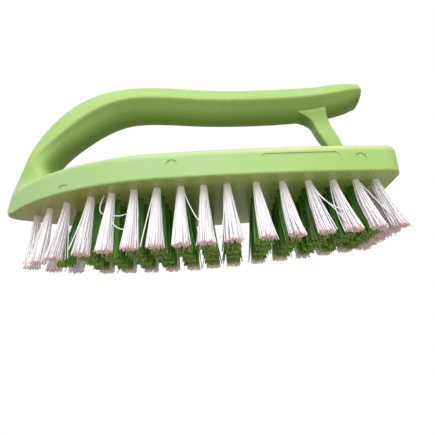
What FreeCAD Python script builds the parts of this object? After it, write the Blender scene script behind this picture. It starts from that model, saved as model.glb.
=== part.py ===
import FreeCAD, Part
import math
import os

import Sketcher
from FreeCAD import Placement, Rotation, Vector

# Iron-shaped scrub brush standing on its tufts: nose towards -X, left side
# towards -Y, tuft ends on the plane z = 0, lengths in millimetres.

# Driving dimensions
SIZES = (
    # block
    ("body_length", 150.0),
    ("body_width", 57.0),
    ("widest_offset", 8.0),
    ("nose_radius", 4.5),
    ("nose_setback", 1.2),
    ("heel_flat_width", 35.0),
    ("heel_corner_radius", 6.0),
    ("block_thickness", 10.0),
    ("top_edge_radius", 1.4),
    ("bottom_edge_radius", 0.8),
    # handle
    ("handle_rise", 48.2),
    ("grip_width", 15.6),
    ("grip_depth", 13.3),
    ("foot_length", 26.0),
    ("foot_width", 19.0),
    ("tail_radius", 3.0),
    ("tail_drop", 4.6),
    # strut
    ("strut_thickness", 7.0),
    ("strut_width", 5.2),
    ("strut_flare", 1.2),
    ("strut_edge_radius", 0.9),
    # tufts
    ("tuft_length", 21.6),
    ("tuft_root_diameter", 2.6),
    ("tuft_tip_diameter", 6.5),
    ("tuft_clearance", 0.05),
    ("edge_inset", 8.0),
    ("hole_depth", 6.0),
    # anchors
    ("anchor_length", 3.6),
    ("anchor_height", 1.6),
    ("anchor_thickness", 0.4),
    ("anchor_clearance", 0.05),
    ("fold_thickness", 0.9),
    # moulding marks
    ("mark_diameter", 4.0),
    ("mark_depth", 0.35),
    ("oval_length", 4.4),
    ("oval_height", 1.8),
    ("panel_length", 27.0),
    ("panel_height", 5.0),
    ("panel_corner_radius", 1.8),
    ("panel_depth", 0.35),
    ("gate_diameter", 1.5),
    ("gate_depth", 0.4),
    ("cut_overrun", 2.0),
)

# Nose foot of the handle, in level sections: height over the block wall above
# its rounded bottom edge, then tip, widest line and rear over the foot length,
# half width over its own.
FOOT_SHARES = (
    (0.00, 0.016, 0.770, 0.960, 0.90),
    (0.50, 0.019, 0.770, 0.960, 0.91),
    (1.00, 0.062, 0.730, 0.909, 0.97),
    (1.40, 0.112, 0.600, 0.799, 0.86),
)
# Arch of the handle, nose to tail: place over half the length, height over the
# handle rise, half width and half depth over those of the grip, how far the
# flanks draw in below their widest line, and how far that line lies below the
# middle of the depth.
ARCH_SHARES = (
    (-0.841, 0.407, 1.02, 0.86, 0.15, 0.06),
    (-0.778, 0.600, 1.02, 1.01, 0.30, 0.14),
    (-0.694, 0.743, 1.03, 1.22, 0.42, 0.20),
    (-0.575, 0.880, 1.04, 1.33, 0.48, 0.15),
    (-0.393, 0.981, 1.04, 1.23, 0.50, 0.05),
    (-0.204, 0.987, 1.02, 1.175, 0.50, 0.00),
    (0.063, 0.932, 1.00, 1.137, 0.50, 0.00),
    (0.358, 0.893, 1.00, 1.097, 0.50, 0.00),
    (0.589, 0.885, 0.99, 1.072, 0.50, 0.00),
    (0.748, 0.895, 0.97, 1.017, 0.48, 0.00),
    (0.860, 0.919, 0.93, 0.932, 0.42, 0.00),
    (0.939, 0.936, 0.88, 0.70, 0.30, 0.00),
)
end_section_count = 5
dome_squareness = 2.2
keel_squareness = 3.4
section_point_count = 24
nose_split_share = 1.25

# Strut stations: height from block top to handle centre, then the flare
# carried on the nose side, on the heel side and on both flanks.
STRUT_SHARES = (
    (-0.06, 1.0, 1.0, 1.0),
    (0.00, 1.0, 1.0, 1.0),
    (0.12, 0.0, 0.0, 0.0),
    (0.45, 0.0, 0.0, 0.1),
    (0.62, 0.0, 0.1, 0.2),
    (0.74, 0.7, 0.5, 0.8),
    (0.82, 3.4, 1.2, 1.5),
    (0.90, 6.0, 2.2, 1.9),
    (0.96, 6.6, 2.8, 1.9),
)
strut_foot_share = 0.864
strut_head_share = 0.672
strut_head_height_share = 0.900

# Tufts: columns along the body length, the nose tuft, and the green tufts in
# each column; the last column is all white.
COLUMN_SHARES = (
    -0.360, -0.303, -0.232, -0.177, -0.121, -0.066, -0.010,
    0.043, 0.098, 0.166, 0.227, 0.288, 0.347, 0.401, 0.449,
)
GREEN_COUNTS = (0, 1, 3) + (4,) * 11
nose_tuft_share = -0.419
heel_tuft_count = 4
fan_share = 0.05

# Moulding marks on the left wall: place along the body length, height over
# the block thickness.
ROUND_MARK_SHARES = ((-0.023, 0.49), (0.404, 0.48))
oval_mark_share = (-0.288, 0.24)
panel_share = (0.267, 0.49)
gate_height_share = 0.55

doc = FreeCAD.newDocument("scrub_brush")
sheet = doc.addObject("Spreadsheet::Sheet", "sizes")
for row, (alias, value) in enumerate(SIZES, start=1):
    sheet.set(f"A{row}", alias)
    sheet.set(f"B{row}", str(value))
    sheet.setAlias(f"B{row}", alias)
doc.recompute()


def size(alias):
    return float(sheet.get(alias))


def add(kind, name, **expressions):
    made = doc.addObject(kind, name)
    for prop, expression in expressions.items():
        made.setExpression(prop, expression)
    return made


def wire_object(name, wire, placement):
    made = doc.addObject("Part::Feature", name)
    made.Shape = wire
    made.Placement = placement
    return made


def loft(name, sections, ruled=False):
    made = doc.addObject("Part::Loft", name)
    made.Sections = sections
    made.Solid = True
    made.Ruled = ruled
    return made


def compound(name, members):
    made = doc.addObject("Part::Compound", name)
    made.Links = members
    return made


def combine(kind, name, base, tool):
    made = doc.addObject(kind, name)
    made.Base = base
    made.Tool = tool
    return made


def fuse(name, members):
    made = doc.addObject("Part::MultiFuse", name)
    made.Shapes = members
    return made


# Heights and the block outline: a nose arc, then on each side a shoulder arc
# up to the widest place, a flank arc back to the heel and a corner arc, closed
# by the straight heel. All joints are tangent, so both long radii follow.
underside_z = size("tuft_length")
sole_z = underside_z + size("bottom_edge_radius")
block_top_z = underside_z + size("block_thickness")
half_length = size("body_length") / 2
half_width = size("body_width") / 2
nose_radius = size("nose_radius")
corner_radius = size("heel_corner_radius")
widest_x = -size("widest_offset")
nose_x = size("nose_setback") + nose_radius - half_length
corner_x = half_length - corner_radius
corner_y = size("heel_flat_width") / 2
corner_drop = half_width - corner_y
shoulder_radius = ((widest_x - nose_x) ** 2 + half_width ** 2 - nose_radius ** 2) / (
    2 * (half_width - nose_radius)
)
flank_radius = ((corner_x - widest_x) ** 2 + corner_drop ** 2 - corner_radius ** 2) / (
    2 * (corner_drop - corner_radius)
)
quarter = math.pi / 2
full_turn = 2 * math.pi


def wall_point(x, inset=0.0):
    """Place on the left wall, or on a line inset from it, and the outward direction there."""
    radius = shoulder_radius if x < widest_x else flank_radius
    rise = math.sqrt((radius - inset) ** 2 - (x - widest_x) ** 2)
    outward = Vector(x - widest_x, -rise, 0)
    return Vector(x, radius - half_width - rise, 0), outward.normalize()


def arc(x, y, radius, start, end):
    return Part.ArcOfCircle(Part.Circle(Vector(x, y, 0), Vector(0, 0, 1), radius), start, end)


def block_outline(body):
    sketch = body.newObject("Sketcher::SketchObject", "block_outline")
    plane = next(one for one in body.Origin.OriginFeatures if one.Role == "XY_Plane")
    sketch.AttachmentSupport = [(plane, "")]
    sketch.MapMode = "FlatFace"
    sketch.setExpression("AttachmentOffset.Base.z", "sizes.tuft_length")
    shoulder_y = shoulder_radius - half_width
    flank_y = flank_radius - half_width
    nose_turn = math.atan2(shoulder_y, nose_x - widest_x)
    corner_turn = math.atan2(corner_y + flank_y, corner_x - widest_x)
    nose, left_shoulder, left_flank, left_corner = range(4)
    heel, right_corner, right_flank, right_shoulder = range(4, 8)
    sketch.addGeometry([
        arc(nose_x, 0, nose_radius, nose_turn, full_turn - nose_turn),
        arc(widest_x, shoulder_y, shoulder_radius, full_turn - nose_turn, 3 * quarter),
        arc(widest_x, flank_y, flank_radius, 3 * quarter, full_turn - corner_turn),
        arc(corner_x, -corner_y, corner_radius, full_turn - corner_turn, full_turn),
        Part.LineSegment(Vector(half_length, -corner_y, 0), Vector(half_length, corner_y, 0)),
        arc(corner_x, corner_y, corner_radius, 0, corner_turn),
        arc(widest_x, -flank_y, flank_radius, corner_turn, quarter),
        arc(widest_x, -shoulder_y, shoulder_radius, quarter, nose_turn),
    ])
    start, end, centre, origin = 1, 2, 3, (-1, 1)
    for curve in range(8):
        sketch.addConstraint(Sketcher.Constraint("Tangent", curve, end, (curve + 1) % 8, start))
    mirrored = ((left_shoulder, right_shoulder), (left_flank, right_flank), (left_corner, right_corner))
    for one, other in mirrored:
        sketch.addConstraint(Sketcher.Constraint("Equal", one, other))
    for one, other in (
        (left_shoulder, left_flank), (right_shoulder, right_flank), (left_shoulder, right_shoulder)
    ):
        sketch.addConstraint(Sketcher.Constraint("Vertical", one, centre, other, centre))
    sketch.addConstraint(Sketcher.Constraint("PointOnObject", nose, centre, -1))
    sketch.addConstraint(Sketcher.Constraint("Vertical", heel))
    nose_run = "sizes.body_length / 2 - sizes.nose_setback - sizes.nose_radius"
    driven = (
        ("Radius", (nose,), nose_radius, "sizes.nose_radius"),
        ("Radius", (left_corner,), corner_radius, "sizes.heel_corner_radius"),
        ("DistanceX", (nose, centre) + origin, -nose_x, nose_run),
        ("DistanceX", (left_shoulder, centre) + origin, -widest_x, "sizes.widest_offset"),
        ("DistanceX", origin + (heel, start), half_length, "sizes.body_length / 2"),
        ("DistanceY", (heel, start, heel, end), 2 * corner_y, "sizes.heel_flat_width"),
        ("DistanceY", (left_shoulder, end, right_shoulder, start), 2 * half_width, "sizes.body_width"),
    )
    for kind, places, value, expression in driven:
        index = sketch.addConstraint(Sketcher.Constraint(kind, *places, value))
        sketch.setExpression(f"Constraints[{index}]", expression)
    return sketch


def lies_at_height(edge, z):
    tolerance = size("tuft_clearance") / 10
    return abs(edge.BoundBox.ZMin - z) < tolerance and abs(edge.BoundBox.ZMax - z) < tolerance


def rounded_block():
    body = doc.addObject("PartDesign::Body", "block")
    sketch = block_outline(body)
    pad = body.newObject("PartDesign::Pad", "block_pad")
    pad.Profile = sketch
    pad.setExpression("Length", "sizes.block_thickness")
    doc.recompute()
    rounded = pad
    for name, height, radius in (
        ("block_top_round", block_top_z, "sizes.top_edge_radius"),
        ("block_bottom_round", underside_z, "sizes.bottom_edge_radius"),
    ):
        fillet = body.newObject("PartDesign::Fillet", name)
        fillet.Base = (rounded, [
            f"Edge{number}"
            for number, edge in enumerate(rounded.Shape.Edges, start=1)
            if lies_at_height(edge, height)
        ])
        fillet.setExpression("Radius", radius)
        doc.recompute()
        rounded = fillet
    return body


def closed_curve(outer_depth, inner_depth, half_breadth, outer_squareness=2, inner_squareness=2, keel=0.0):
    """Smooth closed section: x is the depth, outward positive, y the breadth, drawn in towards a keel."""
    points = []
    for step in range(section_point_count):
        turn = full_turn * step / section_point_count
        across, along = math.cos(turn), math.sin(turn)
        depth, squareness = (outer_depth, outer_squareness) if along > 0 else (inner_depth, inner_squareness)
        reach = (abs(across) ** squareness + abs(along) ** squareness) ** (-1 / squareness)
        narrowing = 1 + keel * min(along * reach, 0)
        points.append(Vector(depth * along, half_breadth * across * narrowing, 0) * reach)
    curve = Part.BSplineCurve()
    curve.interpolate(points, PeriodicFlag=True, Parameters=list(range(section_point_count + 1)))
    return Part.Wire(curve.toShape())


def grip_section(outer_depth, inner_depth, half_breadth, keel):
    return closed_curve(outer_depth, inner_depth, half_breadth, dome_squareness, keel_squareness, keel)


def section_placement(x, z, tilt):
    """Section plane across a line that climbs at tilt, its x axis away from the block."""
    tangent = Vector(math.cos(tilt), 0, math.sin(tilt))
    outward = Vector(-math.sin(tilt), 0, math.cos(tilt))
    return Placement(Vector(x, 0, z), Rotation(outward, Vector(0, -1, 0), tangent, "ZXY"))


def foot_section(share, z, inset):
    height, tip, widest, rear, breadth = share
    wire = closed_curve(
        (widest - tip) * size("foot_length") - inset, (rear - widest) * size("foot_length") - inset,
        breadth * size("foot_width") / 2 - inset,
    )
    x = widest * size("foot_length") - half_length
    return wire_object("foot_section", wire, section_placement(x, z, quarter))


def sole_sections():
    """Level sections that round off the bottom edge of the foot."""
    sections = []
    for step in range(end_section_count + 1):
        turn = quarter * step / end_section_count
        z = sole_z - size("bottom_edge_radius") * math.cos(turn)
        sections.append(foot_section(FOOT_SHARES[0], z, size("bottom_edge_radius") * (1 - math.sin(turn))))
    return sections


def handle_sections():
    sections = []
    path = []
    for share in FOOT_SHARES:
        height, tip, widest, rear, breadth = share
        z = sole_z + height * (block_top_z - sole_z)
        path.append(Vector((tip + rear) / 2 * size("foot_length") - half_length, 0, z))
        sections.append(foot_section(share, z, 0))
    foot_count = len(path)
    for along, height, *section in ARCH_SHARES:
        path.append(Vector(along * half_length, 0, underside_z + height * size("handle_rise")))
    for place, (along, height, breadth, depth, keel, drop) in enumerate(ARCH_SHARES, start=foot_count):
        run = path[place + 1] - path[place - 1] if place + 1 < len(path) else Vector(1, 0, 0)
        tilt = math.atan2(run.z, run.x)
        half_depth = depth * size("grip_depth") / 2
        sunk = drop * half_depth
        wire = grip_section(half_depth + sunk, half_depth - sunk, breadth * size("grip_width") / 2, keel)
        centre = path[place] + Vector(math.sin(tilt), 0, -math.cos(tilt)) * sunk
        sections.append(wire_object("arch_section", wire, section_placement(centre.x, centre.z, tilt)))
    return sections


def tail_sections():
    """Level sections that round off the free end, more below than above."""
    along, height, breadth, depth, keel = ARCH_SHARES[-1][:-1]
    half_depth = depth * size("grip_depth") / 2
    half_breadth = breadth * size("grip_width") / 2
    x, z = along * half_length, underside_z + height * size("handle_rise")
    sections = []
    for step in range(end_section_count + 1):
        turn = quarter * step / end_section_count
        shrink = 1 - math.cos(turn)
        inset = size("tail_radius") * shrink
        drop = size("tail_drop") * shrink
        wire = grip_section(half_depth - inset, half_depth - drop, half_breadth - inset, keel)
        place = section_placement(x + size("tail_radius") * math.sin(turn), z, 0)
        sections.append(wire_object("tail_section", wire, place))
    return sections


def split_handle():
    """The handle in two: the nose that runs into the block, and the arch above it."""
    handle = loft("handle_loft", handle_sections())
    zone = add(
        "Part::Box", "nose_zone", Length="sizes.body_length + 2 * sizes.cut_overrun",
        Width="sizes.body_width", Height=f"{nose_split_share} * sizes.block_thickness",
    )
    zone.Placement.Base = Vector(-half_length - size("cut_overrun"), -half_width, underside_z)
    nose = combine("Part::Common", "handle_nose", handle, zone)
    return nose, combine("Part::Cut", "handle_arch", handle, zone)


def rounded_rectangle(length, breadth, radius):
    """Closed outline about the origin, x along the length."""
    x, y = length / 2 - radius, breadth / 2 - radius
    corners = [
        arc(centre_x, centre_y, radius, turn * quarter, (turn + 1) * quarter)
        for turn, (centre_x, centre_y) in enumerate(((x, y), (-x, y), (-x, -y), (x, -y)))
    ]
    edges = []
    for corner, following in zip(corners, corners[1:] + corners[:1]):
        edges.append(corner.toShape())
        edges.append(Part.LineSegment(corner.EndPoint, following.StartPoint).toShape())
    return Part.Wire(edges)


def strut():
    foot = Vector(strut_foot_share * half_length, 0, block_top_z)
    head = Vector(
        strut_head_share * half_length, 0, underside_z + strut_head_height_share * size("handle_rise")
    )
    sections = []
    for height, to_nose, to_heel, to_flank in STRUT_SHARES:
        flare = size("strut_flare")
        wire = rounded_rectangle(
            size("strut_thickness") + (to_nose + to_heel) * flare, size("strut_width") + 2 * to_flank * flare,
            size("strut_edge_radius"),
        )
        place = foot + (head - foot) * height + Vector(to_heel - to_nose, 0, 0) * (flare / 2)
        sections.append(wire_object("strut_section", wire, Placement(place, Rotation())))
    return loft("strut_loft", sections)


def wall_placement(share, sunk):
    """Frame on the left wall, x along it, y up and z outward, sunk into it."""
    along, height = share
    place, outward = wall_point(along * size("body_length"))
    up = Vector(0, 0, 1)
    base = place - outward * sunk
    base.z = underside_z + height * size("block_thickness")
    return Placement(base, Rotation(up.cross(outward), up, outward, "ZYX"))


def wall_recess(name, wire, share, depth):
    sketch = wire_object(name + "_outline", wire, wall_placement(share, size(depth)))
    recess = add("Part::Extrusion", name, LengthFwd=f"sizes.{depth} + sizes.cut_overrun")
    recess.Base = sketch
    recess.DirMode = "Custom"
    recess.Dir = wall_placement(share, 0).Rotation.multVec(Vector(0, 0, 1))
    recess.Solid = True
    return recess


def moulding_marks():
    marks = []
    for share in ROUND_MARK_SHARES:
        circle = Part.Wire(Part.Circle(Vector(), Vector(0, 0, 1), size("mark_diameter") / 2).toShape())
        marks.append(wall_recess("round_mark", circle, share, "mark_depth"))
    half_oval = size("oval_length") / 2
    oval = Part.Wire(Part.Ellipse(Vector(), half_oval, size("oval_height") / 2).toShape())
    marks.append(wall_recess("oval_mark", oval, oval_mark_share, "mark_depth"))
    outline = rounded_rectangle(size("panel_length"), size("panel_height"), size("panel_corner_radius"))
    panel = wall_recess("panel_block", outline, panel_share, "panel_depth")
    wall = add("Part::Cylinder", "panel_floor", Height="sizes.block_thickness")
    wall.Radius = flank_radius - size("panel_depth")
    wall.Placement.Base = Vector(widest_x, flank_radius - half_width, underside_z)
    marks.append(combine("Part::Cut", "panel_recess", panel, wall))
    gate = add(
        "Part::Cylinder", "gate_mark",
        Radius="sizes.gate_diameter / 2", Height="sizes.gate_depth + sizes.cut_overrun",
    )
    gate_z = underside_z + gate_height_share * size("block_thickness")
    gate.Placement = Placement(
        Vector(size("gate_depth") - half_length, 0, gate_z), Rotation(Vector(0, 0, 1), Vector(-1, 0, 0))
    )
    marks.append(gate)
    return marks


class Tuft:
    """One tuft with the anchor that holds it and the hole that takes both."""

    def __init__(self, x, y):
        self.root = Vector(x, y, 0)
        self.hole = self.make_hole()
        self.anchor = self.make_anchor()
        self.solid = self.make_solid()

    def centred_box(self, name, top_z, clearance):
        spare = f" + 2 * {clearance}" if clearance else ""
        box = add(
            "Part::Box", name, Length="sizes.anchor_thickness" + spare, Width="sizes.anchor_length" + spare,
            Height="sizes.anchor_height" + spare,
        )
        gap = size("anchor_clearance") if clearance else 0
        corner = Vector(size("anchor_thickness") / 2 + gap, size("anchor_length") / 2 + gap, 0)
        box.Placement.Base = self.root - corner + Vector(0, 0, top_z - size("anchor_height") - gap)
        return box

    def anchor_top(self):
        return underside_z + size("hole_depth") - size("fold_thickness")

    def make_hole(self):
        bore = add(
            "Part::Cylinder", "bore", Radius="sizes.tuft_root_diameter / 2 + sizes.tuft_clearance",
            Height="sizes.hole_depth + sizes.cut_overrun",
        )
        bore.Placement.Base = self.root + Vector(0, 0, underside_z - size("cut_overrun"))
        self.seat = self.centred_box("anchor_seat", self.anchor_top(), "sizes.anchor_clearance")
        return combine("Part::Fuse", "hole", bore, self.seat)

    def make_anchor(self):
        return self.centred_box("anchor", self.anchor_top(), None)

    def make_solid(self):
        tip = self.root * (1 + fan_share)
        fold_z = underside_z + size("hole_depth") - size("tuft_clearance")
        rings = []
        for place, z, diameter in (
            (self.root, fold_z, "sizes.tuft_root_diameter"),
            (self.root, underside_z, "sizes.tuft_root_diameter"),
            (tip, 0, "sizes.tuft_tip_diameter"),
        ):
            ring = add("Part::Circle", "tuft_ring", Radius=f"{diameter} / 2")
            ring.Placement.Base = place + Vector(0, 0, z)
            rings.append(ring)
        return combine("Part::Cut", "tuft", loft("tuft_loft", rings, ruled=True), self.seat)


def plant_tufts():
    """White tufts around the rim and green ones inside it, by node name."""
    white = {"white_tuft_nose": Tuft(nose_tuft_share * size("body_length"), 0)}
    green = {}
    for column, share in enumerate(COLUMN_SHARES, start=1):
        x = share * size("body_length")
        rim_y = -wall_point(x, size("edge_inset"))[0].y
        white[f"white_tuft_left_{column:02d}"] = Tuft(x, -rim_y)
        white[f"white_tuft_right_{column:02d}"] = Tuft(x, rim_y)
        at_heel = column == len(COLUMN_SHARES)
        count = heel_tuft_count if at_heel else GREEN_COUNTS[column - 1]
        pitch = 2 * rim_y / (count + 1)
        inner = [Tuft(x, step * pitch - rim_y) for step in range(1, count + 1)]
        if at_heel:
            white.update((f"white_tuft_heel_{step}", tuft) for step, tuft in enumerate(inner, start=1))
        elif inner:
            green[f"green_tufts_{column:02d}"] = inner
    return white, green


# Assembly
white_tufts, green_tufts = plant_tufts()
all_tufts = list(white_tufts.values()) + [tuft for group in green_tufts.values() for tuft in group]
nodes = {}
handle_nose, handle_arch = split_handle()
blank = fuse("block_blank", [rounded_block(), loft("sole_loft", sole_sections()), handle_nose])
openings = compound("body_openings", [tuft.hole for tuft in all_tufts] + moulding_marks())
drilled_block = combine("Part::Cut", "drilled_block", blank, openings)
tail = loft("tail_loft", tail_sections())
nodes["brush_body"] = fuse("brush_body", [drilled_block, handle_arch, tail, strut()])
for name, tuft in white_tufts.items():
    nodes[name] = tuft.solid
for name, group in green_tufts.items():
    nodes[name] = compound(name, [tuft.solid for tuft in group])
nodes["tuft_anchors"] = compound("tuft_anchors", [tuft.anchor for tuft in all_tufts])
for name, node in nodes.items():
    node.Label = name
doc.recompute()

# Check and write
for item in doc.Objects:
    if "Invalid" in item.State or "Error" in item.State:
        raise RuntimeError(f"{item.Label} failed: {item.State}")
os.makedirs("parts", exist_ok=True)
for name, node in nodes.items():
    if node.Shape.isNull() or not node.Shape.isValid():
        raise RuntimeError(f"{name} has no valid shape")
    node.Shape.exportStep(f"parts/{name}.step")
box = nodes["brush_body"].Shape.BoundBox
print(f"{len(nodes)} nodes, {len(all_tufts)} tufts")
print(f"body {box.XMin:.2f} to {box.XMax:.2f}, width {box.YLength:.2f}, top {box.ZMax:.2f}")
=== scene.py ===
import math

import bpy
import numpy as np
from mathutils import Matrix, Vector


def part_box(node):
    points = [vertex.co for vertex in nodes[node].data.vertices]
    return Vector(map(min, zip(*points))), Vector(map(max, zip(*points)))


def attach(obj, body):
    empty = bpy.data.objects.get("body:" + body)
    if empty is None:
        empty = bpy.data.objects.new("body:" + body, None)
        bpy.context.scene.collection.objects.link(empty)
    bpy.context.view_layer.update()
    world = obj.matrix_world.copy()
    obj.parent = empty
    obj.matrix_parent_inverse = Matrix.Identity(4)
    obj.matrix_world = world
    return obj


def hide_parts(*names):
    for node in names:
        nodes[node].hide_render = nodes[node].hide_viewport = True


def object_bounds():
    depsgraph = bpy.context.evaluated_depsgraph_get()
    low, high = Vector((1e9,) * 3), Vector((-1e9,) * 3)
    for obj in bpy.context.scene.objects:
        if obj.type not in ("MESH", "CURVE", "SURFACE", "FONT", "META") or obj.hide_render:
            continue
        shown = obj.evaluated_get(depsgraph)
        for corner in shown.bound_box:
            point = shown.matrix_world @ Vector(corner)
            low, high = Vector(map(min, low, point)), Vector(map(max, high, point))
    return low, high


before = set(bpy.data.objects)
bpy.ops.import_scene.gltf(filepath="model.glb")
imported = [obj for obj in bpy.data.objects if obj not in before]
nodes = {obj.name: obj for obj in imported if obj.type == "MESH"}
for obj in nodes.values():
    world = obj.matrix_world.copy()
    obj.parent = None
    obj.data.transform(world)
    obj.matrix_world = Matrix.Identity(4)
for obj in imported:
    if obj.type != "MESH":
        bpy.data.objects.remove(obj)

# Scrub brush: filaments, materials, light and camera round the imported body.
# Metres, nose towards -X, left side towards -Y, tuft ends at z = 0, just over the floor.
cad_low, cad_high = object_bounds()
MM = 0.001

# Camera of the photograph: place, turn and focal length over the frame's width
camera_place = Vector((14.93, -142.82, -30.50)) * MM
camera_pitch = math.radians(18.146)
camera_yaw = math.radians(-1.919)
camera_roll = math.radians(-2.936)
focal_share = 0.8734
sensor_width = 36.0
nearest_seen = 10 * MM

# Light and floor
aim = Vector((0, 0, 40)) * MM
key_place = Vector((-60, -740, 730)) * MM
key_side = 1000 * MM
key_power = 11.5
rim_place = Vector((-420, 520, 520)) * MM
rim_side = 500 * MM
rim_power = 0.3
fill_place = Vector((150, -600, 20)) * MM
fill_side = 400 * MM
fill_power = 0.9
sky_light = (0.14, 0.14, 0.15, 1)
ground_light = (0.475, 0.445, 0.385, 1)
horizon_blur = 0.25
floor_half_side = 900 * MM
floor_fade_start = 200 * MM
floor_gap = 0.1 * MM
floor_colour = (0.86, 0.86, 0.85, 1)
floor_roughness = 0.9

# Tufts: the filaments, and how a tuft spreads, clumps and frays
filament_count = 80
filament_radius = 0.2 * MM
filament_sides = 8
root_spread = 1.12 * MM
tip_spread = 3.2 * MM
buried_length = 3.4 * MM
ring_shares = (0.0, 0.2, 0.45, 0.72, 0.985, 1.0)
flare_power = 1.2
clump_count = 5
clump_pull = 0.2
cut_raggedness = 0.45 * MM
bow_size = 0.25 * MM
stray_share = 0.05
stray_reach = 1.5
tip_scatter = 0.07
filament_seed = 57
filament_gloss = 1.0
filament_roughness = (0.32, 0.5)
white_sheen = 0.9
white_shades = (0.94, 1.02)
green_sheen = 0.0
green_shades = (0.6, 1.35)

# Wear: short at the heel, tucked in at the nose, and ends that lean away from the middle
heel_wear = 3.6 * MM
heel_wear_start = -5 * MM
heel_wear_run = 72 * MM
heel_wear_power = 1.3
nose_tuck = 5.8 * MM
nose_tuck_start = -50 * MM
nose_tuck_run = 13 * MM
nose_lean_share = 0.045
nose_lean_rise = 1.8
heel_lean_share = 0.05
heel_lean_reach = 20 * MM

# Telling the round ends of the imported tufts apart: by height, and by the gap between two of them
level_tolerance = 0.05 * MM
end_gap = 0.3 * MM

# Loose filaments: the tuft each leaves and its path from the tuft's mouth, as
# steps along X and down, in millimetres.
STRAY_PATHS = (
    ("white_tuft_left_04", ((-2.2, 0.8), (-3.6, 5.0), (-2.6, 7.8), (2.9, 8.9), (5.8, 8.4))),
    ("white_tuft_left_04", ((0.4, 9.6), (1.5, 12.0), (3.4, 13.4), (5.2, 13.9), (6.4, 13.6))),
    ("white_tuft_left_05", ((-1.6, -0.6), (-0.7, 0.1), (0.2, 0.9), (0.9, 2.0), (1.2, 4.0))),
    ("white_tuft_left_07", ((0.9, 0.4), (1.8, 4.0), (3.2, 7.6), (4.8, 11.0), (6.4, 13.6))),
    ("white_tuft_left_09", ((-0.7, 1.0), (-1.0, 6.0), (-1.6, 11.0), (-2.4, 15.6), (-3.3, 19.4))),
    ("white_tuft_left_12", ((0.7, 1.0), (2.8, 5.6), (6.0, 9.0), (9.0, 11.0), (11.6, 12.3))),
    ("white_tuft_left_12", ((0.4, 0.6), (3.4, 6.0), (7.0, 10.4), (10.2, 15.4), (12.4, 19.6))),
    ("white_tuft_left_14", ((0.8, 1.0), (3.4, 5.0), (6.4, 9.4), (9.4, 13.4), (12.0, 16.6))),
)
stray_ring_count = 14
stray_stand_off = 1.1 * MM
stray_along = (0.3, 0.95)
stray_shade = 0.8


# Node trees
def new_material(name):
    material = bpy.data.materials.new(name)
    material.use_nodes = True
    tree = material.node_tree
    tree.nodes.clear()
    output = tree.nodes.new("ShaderNodeOutputMaterial")
    shader = tree.nodes.new("ShaderNodeBsdfPrincipled")
    tree.links.new(shader.outputs["BSDF"], output.inputs["Surface"])
    return material, tree, shader


def link(tree, value, socket):
    """Joins an output to a socket, or sets the socket to a plain value."""
    if isinstance(value, bpy.types.NodeSocket):
        tree.links.new(value, socket)
    else:
        socket.default_value = value


def math_node(tree, operation, first, second=0.0, third=0.0):
    node = tree.nodes.new("ShaderNodeMath")
    node.operation = operation
    for socket, value in zip(node.inputs, (first, second, third)):
        link(tree, value, socket)
    return node.outputs[0]


def times(tree, *shares):
    product = shares[0]
    for share in shares[1:]:
        product = math_node(tree, "MULTIPLY", product, share)
    return product


def mix_colour(tree, share, first, second, blend="MIX"):
    node = tree.nodes.new("ShaderNodeMix")
    node.data_type = "RGBA"
    node.blend_type = blend
    link(tree, share, node.inputs["Factor"])
    colours = [socket for socket in node.inputs if socket.type == "RGBA"]
    for socket, colour in zip(colours, (first, second)):
        link(tree, colour, socket)
    return next(socket for socket in node.outputs if socket.type == "RGBA")


def remap(tree, value, low, high, new_low=0.0, new_high=1.0):
    node = tree.nodes.new("ShaderNodeMapRange")
    node.interpolation_type = "SMOOTHSTEP"
    link(tree, value, node.inputs["Value"])
    for socket, number in zip(("From Min", "From Max", "To Min", "To Max"), (low, high, new_low, new_high)):
        node.inputs[socket].default_value = number
    return node.outputs["Result"]


def noise(tree, place, scale, detail=2.0, roughness=0.5):
    node = tree.nodes.new("ShaderNodeTexNoise")
    tree.links.new(place, node.inputs["Vector"])
    node.inputs["Scale"].default_value = scale
    node.inputs["Detail"].default_value = detail
    node.inputs["Roughness"].default_value = roughness
    return node.outputs["Fac"]


def object_place(tree):
    return tree.nodes.new("ShaderNodeTexCoord").outputs["Object"]


def split(tree, vector):
    node = tree.nodes.new("ShaderNodeSeparateXYZ")
    tree.links.new(vector, node.inputs[0])
    return node.outputs


def bump(tree, shader, height, strength, distance):
    node = tree.nodes.new("ShaderNodeBump")
    node.inputs["Strength"].default_value = strength
    node.inputs["Distance"].default_value = distance
    tree.links.new(height, node.inputs["Height"])
    tree.links.new(node.outputs["Normal"], shader.inputs["Normal"])


def attribute(tree, name):
    node = tree.nodes.new("ShaderNodeAttribute")
    node.attribute_name = name
    return node.outputs["Fac"]


def ramp(tree, value, stops):
    node = tree.nodes.new("ShaderNodeValToRGB")
    tree.links.new(value, node.inputs["Fac"])
    elements = node.color_ramp.elements
    while len(elements) < len(stops):
        elements.new(1.0)
    for element, (place, colour) in zip(elements, stops):
        element.position = place
        element.color = colour
    return node.outputs["Color"]


# Body: levels of the block and the handle, and how far each mark on them reaches
underside_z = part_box("brush_body")[0].z
block_thickness = 10 * MM
block_top_z = underside_z + block_thickness
edge_radius = 1.4 * MM
# How far below the block's top the highlight painted on the top edge reaches
painted_highlight_depth = 2.6 * MM
weld_x = 25 * MM
weld_half_width = 0.35 * MM
# Along X: where the reflection haze painted on the walls and the highlight painted on the top edge change
# strength
painted_light_start_x = 0
painted_light_end_x = 45 * MM
grip_low_z = 50 * MM
grip_fade = 4 * MM
handle_fade = 20 * MM
# Heights over the underside of the band that gets painted warm shade and a smoother finish
underside_band_low = 0.1 * MM
underside_band_high = 0.5 * MM
grain_depth = 0.05 * MM

# How strongly each mark covers the plastic, from least to most where it varies, and the finish
speckle_share = 0.3
# Strength of the reflection haze painted on the walls, from the heel side to the nose side
painted_haze_shares = (0.15, 0.55)
weld_share = 0.22
# Strength of the shade painted where the handle faces down
painted_shade_share = 0.85
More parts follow.
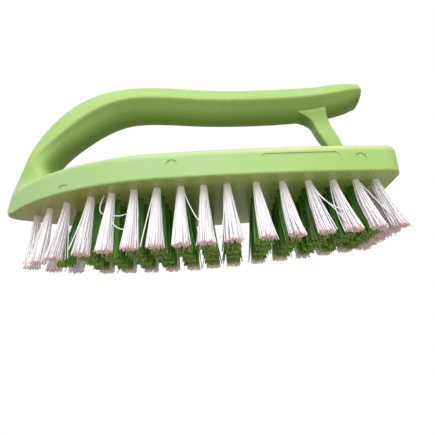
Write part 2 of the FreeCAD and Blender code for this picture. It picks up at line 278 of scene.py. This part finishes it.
# Strength of the warm shade painted on the underside, from heel to nose
painted_warm_shade_shares = (0.15, 0.65)
# Strength of the highlight painted on the top edge, from the middle to the heel
painted_highlight_shares = (0.3, 0.85)
plastic_roughness = (0.40, 0.50)
plastic_gloss = (0.28, 0.40)
rubbed_smoothing = 0.2
grain_strength = 0.12

# Noise: its scales, and the band that most of it falls in
cloud_scale = 45
speckle_scale = 1300
streak_scale = 900
wire_grain_scale = 2500
middle_noise = (0.3, 0.7)

# Colours, and the finish of the wire
plastic_deep = (0.355, 0.565, 0.145, 1)
plastic_light = (0.39, 0.60, 0.165, 1)
speckle_colour = (0.48, 0.67, 0.26, 1)
# Pale tint of the reflection haze painted on the walls
painted_haze_colour = (0.42, 0.62, 0.33, 1)
weld_colour = (0.17, 0.29, 0.06, 1)
# Shade painted where the handle faces down
painted_shade_colour = (0.15, 0.225, 0.044, 1)
# Warm shade painted on the underside
painted_warm_shade_colour = (0.34, 0.27, 0.05, 1)
# Highlight painted on the top edge
painted_highlight_colour = (0.61, 0.77, 0.31, 1)
wire_dark = (0.50, 0.50, 0.49, 1)
wire_light = (0.68, 0.68, 0.66, 1)
wire_roughness = (0.3, 0.5)


# Materials
def body_plastic():
    """Moulded plastic with a weld line, a reflection haze painted on the walls, shade painted where the
    handle faces down, warm shade painted on the underside, and a highlight painted on the top edge, which is
    also smoother.
    """
    material, tree, shader = new_material("body_plastic")
    place = object_place(tree)
    axes = split(tree, place)
    x, z = axes["X"], axes["Z"]
    upward = split(tree, tree.nodes.new("ShaderNodeNewGeometry").outputs["Normal"])["Z"]
    clouds = noise(tree, place, cloud_scale, detail=3)
    speckle = noise(tree, place, speckle_scale)
    colour = mix_colour(tree, remap(tree, clouds, *middle_noise), plastic_deep, plastic_light)
    colour = mix_colour(tree, remap(tree, speckle, 0.35, 0.75, 0, speckle_share), colour, speckle_colour)

    # Painted reflection haze on the block's walls: a pale tint, stronger towards the nose
    on_wall = remap(tree, z, block_top_z + grip_fade, block_top_z)
    on_wall = times(tree, on_wall, remap(tree, upward, -0.5, -0.2))
    painted_haze = remap(tree, x, painted_light_end_x, painted_light_start_x, *painted_haze_shares)
    painted_haze = times(tree, painted_haze, on_wall, remap(tree, clouds, 0.2, 0.8, 0.7, 1))
    colour = mix_colour(tree, painted_haze, colour, painted_haze_colour)

    # Weld line across the grip
    off_weld = math_node(tree, "ABSOLUTE", math_node(tree, "SUBTRACT", x, weld_x))
    weld = remap(tree, off_weld, 0, weld_half_width, weld_share, 0)
    weld = times(tree, weld, remap(tree, z, grip_low_z, grip_low_z + grip_fade))
    colour = mix_colour(tree, weld, colour, weld_colour)

    # Painted shade where the handle faces down
    painted_shade = remap(tree, upward, 0.15, -0.85, 0, painted_shade_share)
    painted_shade = times(tree, painted_shade, remap(tree, z, block_top_z, block_top_z + handle_fade))
    colour = mix_colour(tree, painted_shade, colour, painted_shade_colour)

    # Painted warm shade on the underside, growing towards the nose
    on_underside = remap(tree, z, underside_z + underside_band_high, underside_z + underside_band_low)
    painted_warm_shade = remap(tree, x, cad_high.x, cad_low.x, *painted_warm_shade_shares)
    painted_warm_shade = times(tree, painted_warm_shade, on_underside, remap(tree, clouds, 0.25, 0.75, 0.75, 1.25))
    colour = mix_colour(tree, painted_warm_shade, colour, painted_warm_shade_colour)

    # Painted highlight along the top edge, paler towards the heel
    painted_highlight = remap(tree, z, block_top_z - painted_highlight_depth, block_top_z - edge_radius)
    painted_highlight = times(tree, painted_highlight, on_wall, remap(tree, upward, 0.95, 0.6))
    painted_highlight = times(tree, painted_highlight, remap(tree, x, painted_light_start_x, painted_light_end_x, *painted_highlight_shares))
    colour = mix_colour(tree, painted_highlight, colour, painted_highlight_colour)
    tree.links.new(colour, shader.inputs["Base Color"])

    # Smoother on the rubbed edge and the underside
    off_edge = math_node(tree, "ABSOLUTE", math_node(tree, "SUBTRACT", z, block_top_z - edge_radius))
    rubbed = math_node(tree, "MAXIMUM", remap(tree, off_edge, edge_radius, 0), on_underside)
    roughness = remap(tree, speckle, *middle_noise, *plastic_roughness)
    roughness = math_node(tree, "MULTIPLY_ADD", rubbed, -rubbed_smoothing, roughness)
    tree.links.new(roughness, shader.inputs["Roughness"])
    tree.links.new(remap(tree, rubbed, 0, 1, *plastic_gloss), shader.inputs["Specular IOR Level"])
    bump(tree, shader, speckle, grain_strength, grain_depth)
    return material


def filament_plastic(name, stops, shades, sheen):
    """Drawn filament: colour runs from root to cut end, and each filament has its own shade."""
    material, tree, shader = new_material(name)
    along, shade = attribute(tree, "along"), attribute(tree, "shade")
    colour = ramp(tree, along, stops)
    level = remap(tree, shade, 0, 1, *shades)
    grey = tree.nodes.new("ShaderNodeCombineColor")
    for socket in grey.inputs[:3]:
        tree.links.new(level, socket)
    colour = mix_colour(tree, 1.0, colour, grey.outputs["Color"], "MULTIPLY")
    streaks = noise(tree, object_place(tree), streak_scale, detail=1)
    tree.links.new(colour, shader.inputs["Base Color"])
    tree.links.new(remap(tree, streaks, *middle_noise, *filament_roughness), shader.inputs["Roughness"])
    shader.inputs["Specular IOR Level"].default_value = filament_gloss
    shader.inputs["Sheen Weight"].default_value = sheen
    return material


def anchor_steel():
    material, tree, shader = new_material("anchor_wire")
    grain = noise(tree, object_place(tree), wire_grain_scale, detail=3)
    tree.links.new(mix_colour(tree, grain, wire_dark, wire_light), shader.inputs["Base Color"])
    tree.links.new(remap(tree, grain, *middle_noise, *wire_roughness), shader.inputs["Roughness"])
    shader.inputs["Metallic"].default_value = 1.0
    return material


WHITE_STOPS = (
    (0.00, (0.97, 0.85, 0.82, 1)),
    (0.10, (0.98, 0.91, 0.91, 1)),
    (0.30, (0.98, 0.95, 0.99, 1)),
    (0.88, (0.98, 0.94, 0.99, 1)),
    # The pink of these last two stops is painted warm shade on the cut ends
    (0.975, (0.97, 0.85, 0.88, 1)),
    (0.99, (0.97, 0.69, 0.67, 1)),
)
GREEN_STOPS = (
    (0.00, (0.06, 0.22, 0.015, 1)),
    (0.50, (0.10, 0.36, 0.018, 1)),
    (0.90, (0.125, 0.38, 0.02, 1)),
    (0.975, (0.17, 0.34, 0.02, 1)),
    (0.99, (0.21, 0.34, 0.02, 1)),
)


# Filaments
def end_centres(points, z):
    """Centres of the round ends that a node has at this height, in order of Y."""
    ring = points[np.abs(points[:, 2] - z) < level_tolerance]
    ring = ring[np.argsort(ring[:, 1])]
    breaks = np.flatnonzero(np.diff(ring[:, 1]) > end_gap) + 1
    return [(group.min(0) + group.max(0)) / 2 for group in np.split(ring, breaks)]


def node_points(name):
    mesh = nodes[name].data
    points = np.empty(len(mesh.vertices) * 3)
    mesh.vertices.foreach_get("co", points)
    return points.reshape(-1, 3)


def tufts_of(name):
    """Mouth and tip centre of each tuft in a node."""
    points = node_points(name)
    heights = points[:, 2]
    return list(zip(end_centres(points, heights.max()), end_centres(points, heights.min())))


def disc_points(count):
    """Even spread over the unit disc."""
    step = np.arange(count)
    turn = step * math.pi * (3 - math.sqrt(5))
    reach = np.sqrt((step + 0.5) / count)
    return np.stack([np.cos(turn), np.sin(turn)], 1) * reach[:, None]


def rise(value, start, run):
    """0 up to start, 1 from start + run on, and a straight rise between."""
    return min(max((value - start) / run, 0), 1)


def worn_tip(root, tip):
    """Tip centre after wear: shorter towards the heel, tucked in at the nose, leaning away from the middle.
    """
    wear = max((root[0] - heel_wear_start) / heel_wear_run, 0) ** heel_wear_power
    short = heel_wear * wear / (underside_z - tip[2])
    tuck = nose_tuck * rise(-root[0], -nose_tuck_start, nose_tuck_run)
    lean = min(root[0], 0) * max(nose_lean_share + nose_lean_rise * root[1], 0)
    lean += max(root[0], 0) * heel_lean_share * rise(-root[1], -heel_lean_reach, 2 * heel_lean_reach)
    mouth = np.array([root[0], root[1], underside_z])
    return mouth + (tip - mouth) * (1 - short) + np.array([tuck + lean, 0, 0])


def tuft_paths(root, tip, random):
    """Paths of one tuft's filaments, from inside the hole to the cut end."""
    spots = disc_points(filament_count)
    centres = disc_points(clump_count)[random.permutation(clump_count)]
    nearest = np.argmin(np.linalg.norm(spots[:, None] - centres[None], axis=2), axis=1)
    ends = spots + (centres[nearest] - spots) * clump_pull
    ends += random.normal(0, tip_scatter, ends.shape)
    astray = random.random(filament_count) < stray_share
    ends[astray] *= stray_reach
    end = worn_tip(root, tip)
    start = np.array([root[0], root[1], underside_z])
    starts = np.column_stack([spots * root_spread, np.zeros(filament_count)]) + start
    cut = np.abs(random.normal(0, cut_raggedness, filament_count))
    stops = np.column_stack([ends * tip_spread, cut]) + end
    bows = random.normal(0, bow_size, (filament_count, 2))
    rings = [starts + np.array([0, 0, buried_length])]
    for share in ring_shares:
        ring = starts + (stops - starts) * np.array([share ** flare_power, share ** flare_power, share])
        ring[:, :2] += bows * math.sin(math.pi * share)
        rings.append(ring)
    return np.stack(rings, 1)


def filament_mesh(name, paths, along, shades, material):
    """Round filaments along paths (filament, ring, xyz), closed at both ends."""
    count, ring_count = paths.shape[:2]
    tangent = np.gradient(paths, axis=1)
    tangent /= np.linalg.norm(tangent, axis=2, keepdims=True)
    side = np.cross(tangent, np.array([0.0, 1.0, 0.0]))
    side /= np.linalg.norm(side, axis=2, keepdims=True)
    other = np.cross(side, tangent)
    turn = 2 * math.pi * np.arange(filament_sides) / filament_sides
    ring = np.cos(turn)[:, None] * side[:, :, None, :] + np.sin(turn)[:, None] * other[:, :, None, :]
    points = (paths[:, :, None, :] + ring * filament_radius).reshape(-1, 3)
    index = np.arange(len(points)).reshape(count, ring_count, filament_sides)
    following = np.roll(index, -1, axis=2)
    walls = np.stack([index[:, :-1], following[:, :-1], following[:, 1:], index[:, 1:]], 3).reshape(-1, 4)
    caps = np.concatenate([index[:, 0, ::-1], index[:, -1]])
    mesh = bpy.data.meshes.new(name)
    mesh.from_pydata(points.tolist(), [], walls.tolist() + caps.tolist())
    per_ring = np.broadcast_to(along[None, :, None], index.shape)
    per_filament = np.broadcast_to(shades[:, None, None], index.shape)
    for label, values in (("along", per_ring), ("shade", per_filament)):
        layer = mesh.attributes.new(label, "FLOAT", "POINT")
        layer.data.foreach_set("value", values.ravel().astype(np.float32))
    mesh.polygons.foreach_set("use_smooth", [True] * len(walls) + [False] * len(caps))
    mesh.materials.append(material)
    mesh.update()
    made = bpy.data.objects.new(name, mesh)
    bpy.context.scene.collection.objects.link(made)
    return made


def dress_tuft_node(name, seed, material):
    random = np.random.default_rng(seed)
    paths = np.concatenate([tuft_paths(root, tip, random) for root, tip in tufts_of(name)])
    along = np.array((0.0,) + ring_shares)
    made = filament_mesh(name + "_filaments", paths, along, random.random(len(paths)), material)
    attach(made, "root")
    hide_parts(name)


def smooth_path(points, count):
    """Catmull-Rom curve through points, as count places along it."""
    padded = np.vstack([2 * points[0] - points[1], points, 2 * points[-1] - points[-2]])
    spans = len(points) - 1
    places = []
    for share in np.linspace(0, spans, count):
        span = min(int(share), spans - 1)
        part = share - span
        before, start, stop, after = padded[span:span + 4]
        bend = 2 * before - 5 * start + 4 * stop - after
        twist = 3 * (start - stop) + after - before
        places.append(start + part / 2 * (stop - before + part * (bend + part * twist)))
    return np.array(places)


def stray_filaments(material):
    paths = []
    for name, steps in STRAY_PATHS:
        root = tufts_of(name)[0][0]
        mouth = np.array([root[0], root[1] - stray_stand_off, underside_z])
        offsets = np.array([(across, 0, -down) for across, down in steps]) * MM
        paths.append(smooth_path(mouth + offsets, stray_ring_count))
    along = np.linspace(*stray_along, stray_ring_count)
    shades = np.full(len(paths), stray_shade)
    made = filament_mesh("stray_filaments", np.array(paths), along, shades, material)
    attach(made, "root")


white = filament_plastic("white_bristle", WHITE_STOPS, white_shades, white_sheen)
green = filament_plastic("green_bristle", GREEN_STOPS, green_shades, green_sheen)
for order, node_name in enumerate(sorted(nodes)):
    if node_name.startswith("white_tuft"):
        dress_tuft_node(node_name, filament_seed + order, white)
    elif node_name.startswith("green_tufts"):
        dress_tuft_node(node_name, filament_seed + order, green)
stray_filaments(white)


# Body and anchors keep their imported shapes
def paint(name, material):
    materials = nodes[name].data.materials
    materials.clear()
    materials.append(material)


paint("brush_body", body_plastic())
paint("tuft_anchors", anchor_steel())


# Stage
def stage_floor():
    """Pale floor that fades into the white round it, open from below to let the low camera see the brush."""
    mesh = bpy.data.meshes.new("floor")
    corners = [(-1, -1), (1, -1), (1, 1), (-1, 1)]
    points = [(x * floor_half_side, y * floor_half_side, -floor_gap) for x, y in corners]
    mesh.from_pydata(points, [], [(0, 1, 2, 3)])
    floor = bpy.data.objects.new("floor", mesh)
    bpy.context.scene.collection.objects.link(floor)
    material, tree, shader = new_material("floor")
    shader.inputs["Base Color"].default_value = floor_colour
    shader.inputs["Roughness"].default_value = floor_roughness
    clear = tree.nodes.new("ShaderNodeBsdfTransparent")
    mix = tree.nodes.new("ShaderNodeMixShader")
    reach = tree.nodes.new("ShaderNodeVectorMath")
    reach.operation = "LENGTH"
    tree.links.new(object_place(tree), reach.inputs[0])
    faded = remap(tree, reach.outputs["Value"], floor_fade_start, floor_half_side)
    below = tree.nodes.new("ShaderNodeNewGeometry").outputs["Backfacing"]
    tree.links.new(math_node(tree, "MAXIMUM", faded, below), mix.inputs["Fac"])
    tree.links.new(shader.outputs["BSDF"], mix.inputs[1])
    tree.links.new(clear.outputs["BSDF"], mix.inputs[2])
    output = next(node for node in tree.nodes if node.type == "OUTPUT_MATERIAL")
    tree.links.new(mix.outputs["Shader"], output.inputs["Surface"])
    mesh.materials.append(material)
    floor.visible_diffuse = False
    floor.visible_glossy = False
    floor.visible_shadow = False


def white_world():
    """White where seen, or mirrored above the horizon; its light is neutral from above, warm from below."""
    world = bpy.data.worlds.new("studio")
    bpy.context.scene.world = world
    world.use_nodes = True
    tree = world.node_tree
    tree.nodes.clear()
    ambient, seen = (tree.nodes.new("ShaderNodeBackground") for _ in range(2))
    seen.inputs["Color"].default_value = (1, 1, 1, 1)
    height = split(tree, tree.nodes.new("ShaderNodeTexCoord").outputs["Generated"])["Z"]
    above = remap(tree, height, -horizon_blur, horizon_blur)
    tree.links.new(mix_colour(tree, above, ground_light, sky_light), ambient.inputs["Color"])
    path = tree.nodes.new("ShaderNodeLightPath").outputs
    mirrored = math_node(tree, "MULTIPLY", path["Is Glossy Ray"], above)
    is_seen = math_node(tree, "MAXIMUM", path["Is Camera Ray"], mirrored)
    mix = tree.nodes.new("ShaderNodeMixShader")
    tree.links.new(is_seen, mix.inputs["Fac"])
    tree.links.new(ambient.outputs["Background"], mix.inputs[1])
    tree.links.new(seen.outputs["Background"], mix.inputs[2])
    output = tree.nodes.new("ShaderNodeOutputWorld")
    tree.links.new(mix.outputs["Shader"], output.inputs["Surface"])


def area_light(name, place, side, power):
    lamp = bpy.data.lights.new(name, "AREA")
    lamp.size = side
    lamp.energy = power
    made = bpy.data.objects.new(name, lamp)
    made.location = place
    made.rotation_euler = (aim - place).to_track_quat("-Z", "Y").to_euler()
    made.visible_camera = False
    bpy.context.scene.collection.objects.link(made)


def photo_camera():
    level = math.cos(camera_pitch)
    forward = Vector((math.sin(camera_yaw) * level, math.cos(camera_yaw) * level, math.sin(camera_pitch)))
    right = Vector((math.cos(camera_yaw), -math.sin(camera_yaw), 0))
    up = right.cross(forward)
    rolled_right = right * math.cos(camera_roll) + up * math.sin(camera_roll)
    rolled_up = up * math.cos(camera_roll) - right * math.sin(camera_roll)
    data = bpy.data.cameras.new("camera")
    data.sensor_width = sensor_width
    data.lens = focal_share * sensor_width
    data.clip_start = nearest_seen
    camera = bpy.data.objects.new("camera", data)
    turn = Matrix((rolled_right, rolled_up, -forward)).transposed().to_4x4()
    camera.matrix_world = Matrix.Translation(camera_place) @ turn
    bpy.context.scene.collection.objects.link(camera)
    bpy.context.scene.camera = camera


stage_floor()
white_world()
area_light("key", key_place, key_side, key_power)
area_light("rim", rim_place, rim_side, rim_power)
area_light("fill", fill_place, fill_side, fill_power)
photo_camera()
bpy.context.scene.view_settings.view_transform = "Standard"
